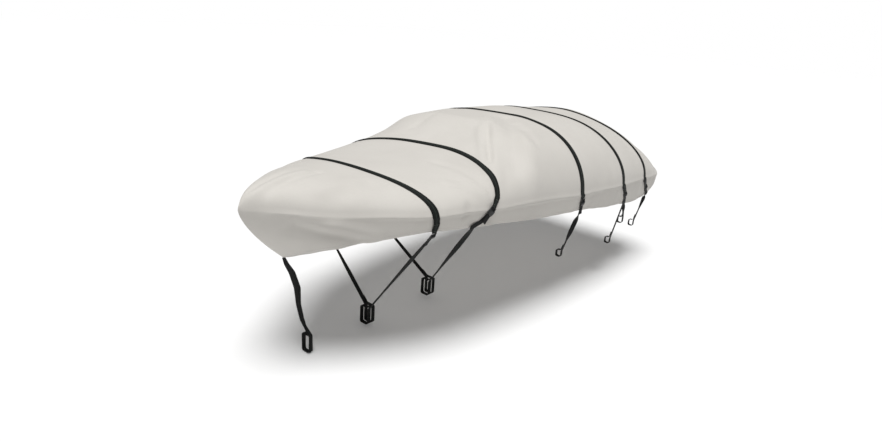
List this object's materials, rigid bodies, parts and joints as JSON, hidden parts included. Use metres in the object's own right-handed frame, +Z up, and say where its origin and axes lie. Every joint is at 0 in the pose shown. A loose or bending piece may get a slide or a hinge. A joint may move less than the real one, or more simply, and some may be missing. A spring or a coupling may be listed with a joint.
{
  "type": "fitted boat cover with tie-down straps",
  "caption": "Fitted cloth cover in the shape of a small open boat, with wide cross straps, cam buckles, tie-down tails ending in loops, and a bow strap.",
  "frame": {"origin": "underside of the cloth at the middle of its raised top, where the covered hull's highest part holds it up", "axes": "+X towards the stern, +Y towards starboard, +Z up"},
  "size_m": [4.547, 1.9467, 1.6055],
  "materials": {
    "cover_cloth": "plain woven polyester canvas, matt",
    "wide_webbing": "flat woven webbing, matt",
    "narrow_webbing": "flat woven webbing, matt",
    "buckle_plastic": "moulded, satin"
  },
  "bodies": {
    "root": {"cover": "cover_cloth", "strap_1": "wide_webbing", "strap_2": "wide_webbing", "strap_3": "wide_webbing", "strap_4": "wide_webbing", "strap_5": "wide_webbing", "buckle_1_port": "buckle_plastic", "tail_1_port": "narrow_webbing", "free_end_1_port": "narrow_webbing", "buckle_1_starboard": "buckle_plastic", "tail_1_starboard": "narrow_webbing", "free_end_1_starboard": "narrow_webbing", "buckle_2_port": "buckle_plastic", "tail_2_port": "narrow_webbing", "free_end_2_port": "narrow_webbing", "buckle_2_starboard": "buckle_plastic", "tail_2_starboard": "narrow_webbing", "free_end_2_starboard": "narrow_webbing", "buckle_3_port": "buckle_plastic", "tail_3_port": "narrow_webbing", "free_end_3_port": "narrow_webbing", "buckle_3_starboard": "buckle_plastic", "tail_3_starboard": "narrow_webbing", "free_end_3_starboard": "narrow_webbing", "buckle_4_port": "buckle_plastic", "tail_4_port": "narrow_webbing", "buckle_4_starboard": "buckle_plastic", "tail_4_starboard": "narrow_webbing", "free_end_4_starboard": "narrow_webbing", "buckle_5_port": "buckle_plastic", "tail_5_port": "narrow_webbing", "free_end_5_port": "narrow_webbing", "buckle_5_starboard": "buckle_plastic", "tail_5_starboard": "narrow_webbing", "free_end_5_starboard": "narrow_webbing", "tail_4_port_long": "narrow_webbing", "bow_strap": "narrow_webbing"}
  },
  "joints": []
}
